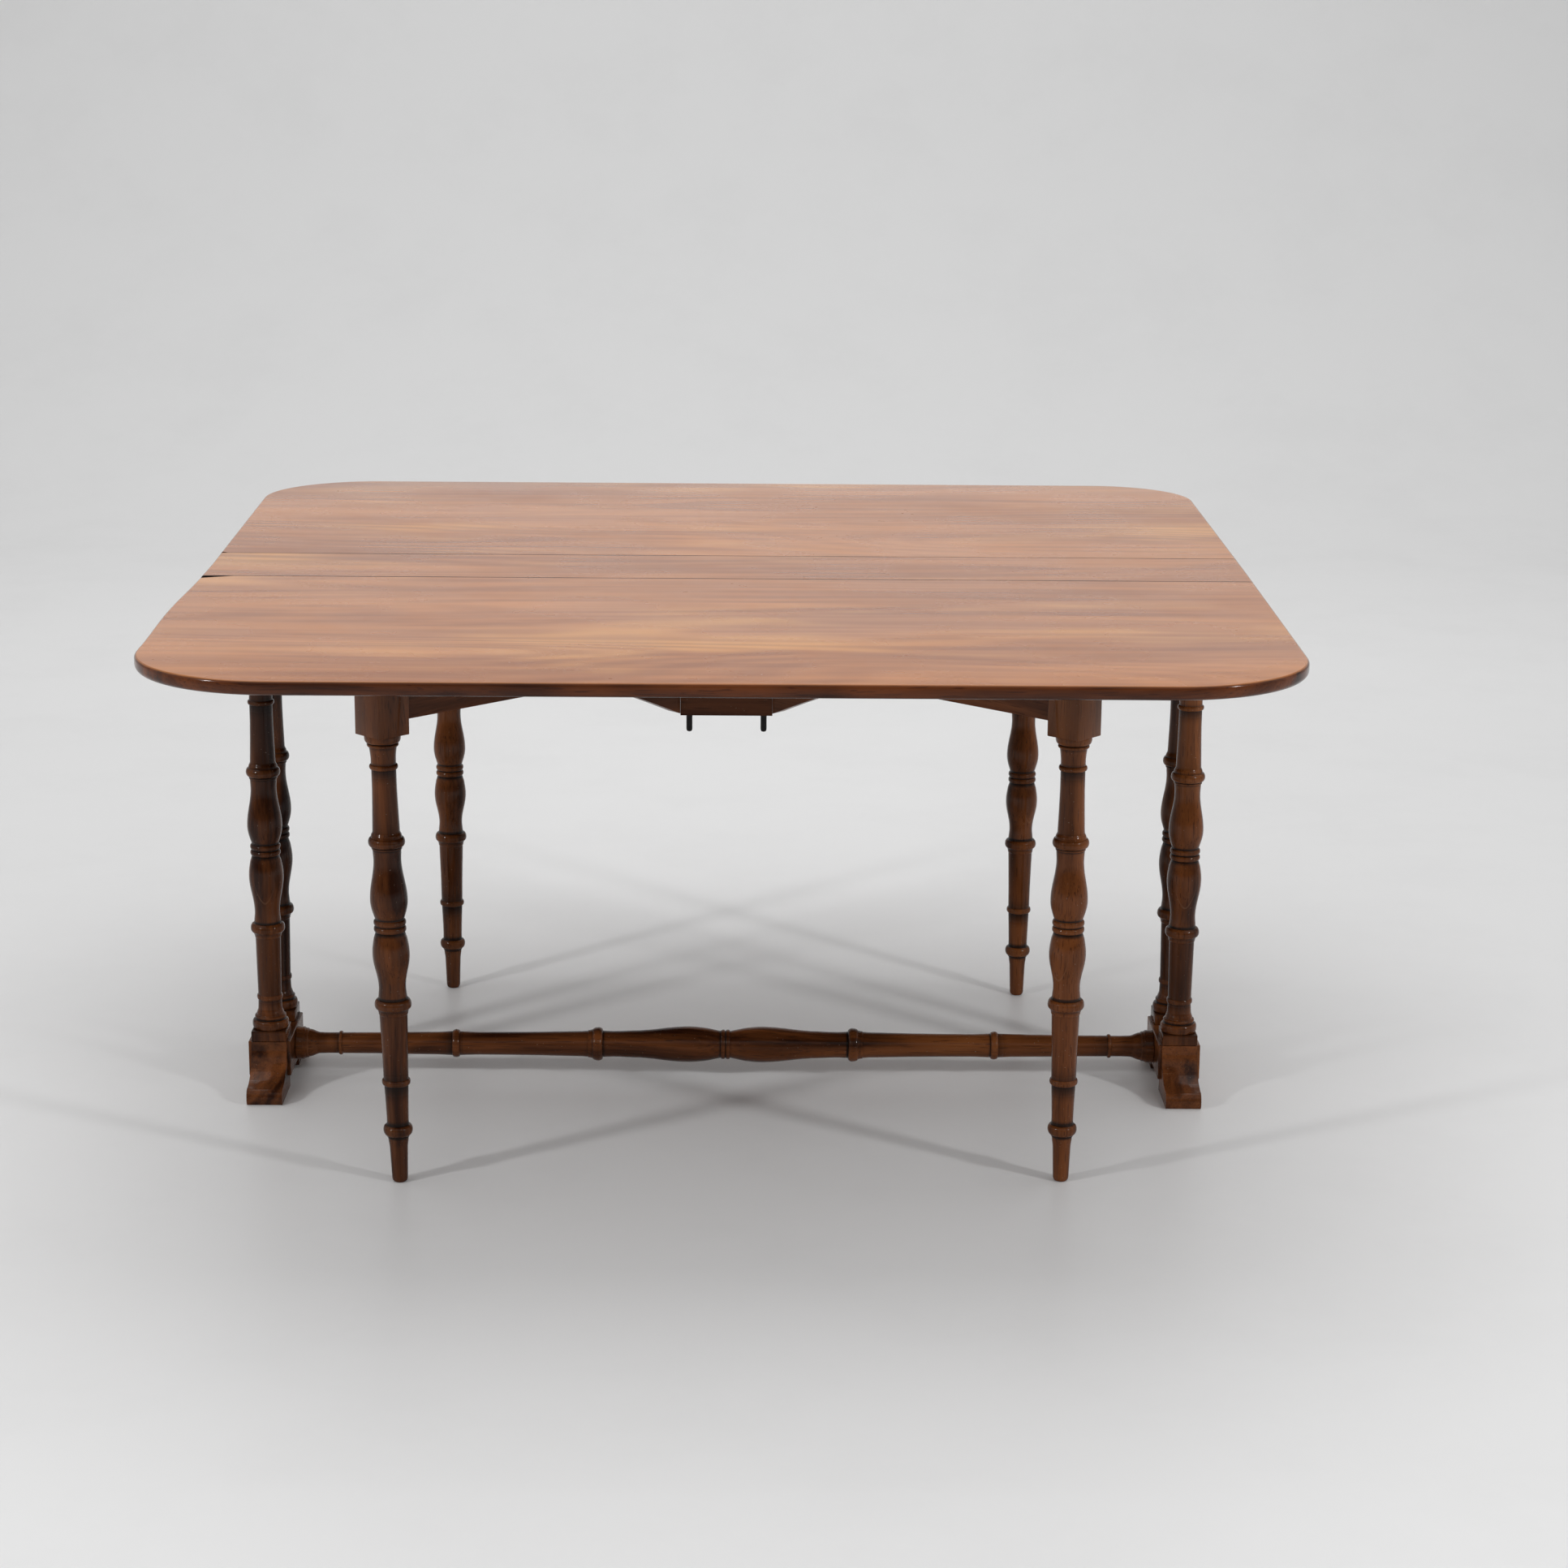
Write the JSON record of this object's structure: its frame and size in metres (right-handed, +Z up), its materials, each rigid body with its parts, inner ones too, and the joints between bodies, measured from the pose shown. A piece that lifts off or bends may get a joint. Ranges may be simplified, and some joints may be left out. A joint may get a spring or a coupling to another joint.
{
  "type": "gateleg table",
  "caption": "Gateleg dining table with a narrow fixed centre board, two rounded drop leaves held up by turned swinging gate legs, and turned end trestles joined by a turned stretcher.",
  "frame": {"origin": "on the floor under the middle of the open top", "axes": "+X along the seams, to the table's right; -Y towards its front; +Z up"},
  "size_m": [1.4048, 1.475, 0.72],
  "materials": {
    "top_mahogany": "polished",
    "turned_mahogany": "glossy polish",
    "frame_mahogany": "satin",
    "black_iron": "dull black",
    "hinge_brass": "tarnished"
  },
  "bodies": {
    "frame": {"centre_board": "top_mahogany", "base_beam_left": "turned_mahogany", "top_bearer_left": "frame_mahogany", "foot_front_left": "turned_mahogany", "column_front_left": "turned_mahogany", "foot_rear_left": "turned_mahogany", "column_rear_left": "turned_mahogany", "base_beam_right": "turned_mahogany", "top_bearer_right": "frame_mahogany", "foot_front_right": "turned_mahogany", "column_front_right": "turned_mahogany", "foot_rear_right": "turned_mahogany", "column_rear_right": "turned_mahogany", "stretcher": "turned_mahogany", "long_rail": "frame_mahogany", "pivot_block_front": "frame_mahogany", "pivot_block_rear": "frame_mahogany", "pivot_pin_front_left": "black_iron", "pivot_pin_front_right": "black_iron", "pivot_pin_rear_left": "black_iron", "pivot_pin_rear_right": "black_iron", "hinge_front_1_fixed": "hinge_brass", "hinge_front_1_pin": "hinge_brass", "hinge_front_2_fixed": "hinge_brass", "hinge_front_2_pin": "hinge_brass", "hinge_front_3_fixed": "hinge_brass", "hinge_front_3_pin": "hinge_brass", "hinge_rear_1_fixed": "hinge_brass", "hinge_rear_1_pin": "hinge_brass", "hinge_rear_2_fixed": "hinge_brass", "hinge_rear_2_pin": "hinge_brass", "hinge_rear_3_fixed": "hinge_brass", "hinge_rear_3_pin": "hinge_brass"},
    "leaf_front_body": {"leaf_front": "top_mahogany", "hinge_front_1_leaf": "hinge_brass", "hinge_front_2_leaf": "hinge_brass", "hinge_front_3_leaf": "hinge_brass", "gate_stop_front_left": "frame_mahogany", "gate_stop_front_right": "frame_mahogany"},
    "leaf_rear_body": {"leaf_rear": "top_mahogany", "hinge_rear_1_leaf": "hinge_brass", "hinge_rear_2_leaf": "hinge_brass", "hinge_rear_3_leaf": "hinge_brass", "gate_stop_rear_left": "frame_mahogany", "gate_stop_rear_right": "frame_mahogany"},
    "gate_front_left": {"arm_front_left": "frame_mahogany", "leg_front_left": "turned_mahogany"},
    "gate_front_right": {"arm_front_right": "frame_mahogany", "leg_front_right": "turned_mahogany"},
    "gate_rear_left": {"arm_rear_left": "frame_mahogany", "leg_rear_left": "turned_mahogany"},
    "gate_rear_right": {"arm_rear_right": "frame_mahogany", "leg_rear_right": "turned_mahogany"}
  },
  "joints": [
    {"name": "leaf_front_lift", "type": "hinge", "parent": "frame", "child": "leaf_front_body", "pos_m": [0, -0.086, 0.7055], "axis": [-1, 0, 0], "range_deg": [0, 2.5]},
    {"name": "leaf_rear_lift", "type": "hinge", "parent": "frame", "child": "leaf_rear_body", "pos_m": [0, 0.086, 0.7055], "axis": [1, 0, 0], "range_deg": [0, 2.5]},
    {"name": "gate_front_left_swing", "type": "hinge", "parent": "frame", "child": "gate_front_left", "pos_m": [-0.0497, -0.0465, 0.6], "axis": [0, 0, 1], "range_deg": [-44, 0]},
    {"name": "gate_front_right_swing", "type": "hinge", "parent": "frame", "child": "gate_front_right", "pos_m": [0.0497, -0.0465, 0.6], "axis": [0, 0, 1], "range_deg": [0, 42.2]},
    {"name": "gate_rear_left_swing", "type": "hinge", "parent": "frame", "child": "gate_rear_left", "pos_m": [-0.0497, 0.0465, 0.6], "axis": [0, 0, 1], "range_deg": [0, 44.9]},
    {"name": "gate_rear_right_swing", "type": "hinge", "parent": "frame", "child": "gate_rear_right", "pos_m": [0.0497, 0.0465, 0.6], "axis": [0, 0, 1], "range_deg": [-41.3, 0]}
  ]
}
